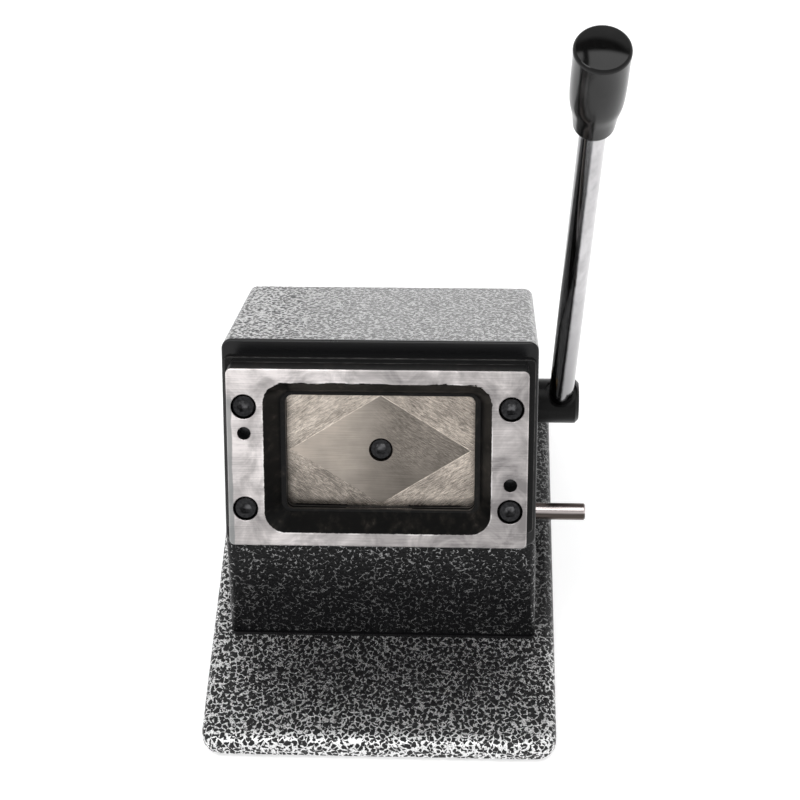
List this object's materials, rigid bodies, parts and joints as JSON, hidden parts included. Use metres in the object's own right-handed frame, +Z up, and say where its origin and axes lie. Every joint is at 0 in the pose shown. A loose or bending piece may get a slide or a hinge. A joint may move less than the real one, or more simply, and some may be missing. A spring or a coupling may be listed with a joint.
{
  "type": "stand card die cutter",
  "caption": "Stand-mounted hand press with a tilted die head and a side lever that punches a round-cornered card out of sheet.",
  "frame": {"origin": "on the ground under the middle of the base plate", "axes": "+X to the operator's right, the lever's side, +Y away from the operator, +Z up"},
  "size_m": [0.1824, 0.222, 0.3546],
  "materials": {
    "hammer_paint": "hammertone black and silver",
    "ground_steel": "ground, sides painted black",
    "black_paint": "semi-gloss",
    "tool_steel": "ground",
    "black_oxide": "black oxide",
    "bright_steel": "ground",
    "machined_steel": "machined",
    "bronze": "machined",
    "chrome": "polished",
    "grip_plastic": "glossy",
    "spring_steel": "drawn wire",
    "mat_rubber": "matt"
  },
  "bodies": {
    "frame": {"base_plate": "hammer_paint", "pedestal": "hammer_paint", "housing": "hammer_paint", "rear_cover": "hammer_paint", "die_plate": "ground_steel", "guide_plate": "black_paint", "slot_spacer_left": "black_paint", "slot_spacer_right": "black_paint", "die_screws": "black_oxide", "base_screws": "black_oxide", "pedestal_screws": "black_oxide", "rear_cover_screws": "black_oxide", "sheet_stop_screws": "black_oxide", "die_dowels": "black_oxide", "stop_pin": "bright_steel", "sheet_stop": "bright_steel", "bush_left": "bronze", "bush_right": "bronze", "liner_top": "bronze", "liner_bottom": "bronze", "liner_left": "bronze", "liner_right": "bronze", "bore_cover": "grip_plastic", "return_spring_left": "spring_steel", "return_spring_right": "spring_steel", "rubber_mat": "mat_rubber"},
    "ram": {"ram_block": "machined_steel", "yoke_cap": "machined_steel", "yoke_screws": "black_oxide", "punch": "tool_steel", "punch_screw": "black_oxide", "punch_dowels": "bright_steel"},
    "lever": {"lever_shaft": "black_oxide", "lever_rod": "chrome", "lever_grip": "grip_plastic", "crank_sleeve": "bronze", "shaft_spacer_left": "machined_steel", "shaft_spacer_right": "machined_steel"}
  },
  "joints": [
    {"name": "lever_turn", "type": "hinge", "parent": "frame", "child": "lever", "pos_m": [0, 0.05183, 0.07374], "axis": [1, 0, 0], "range_deg": [0, 64]},
    {"name": "ram_slide", "type": "slide", "parent": "frame", "child": "ram", "axis": [0, -0.848, 0.5299], "range_m": [0, 0.00773], "stiffness_N_per_m": 3000, "springref_m": -0.01, "deforming": ["return_spring_left", "return_spring_right"]}
  ],
  "couplings": [
    {"joint": "ram_slide", "follows": "lever_turn", "m_per_rad": 0.0068315}
  ]
}
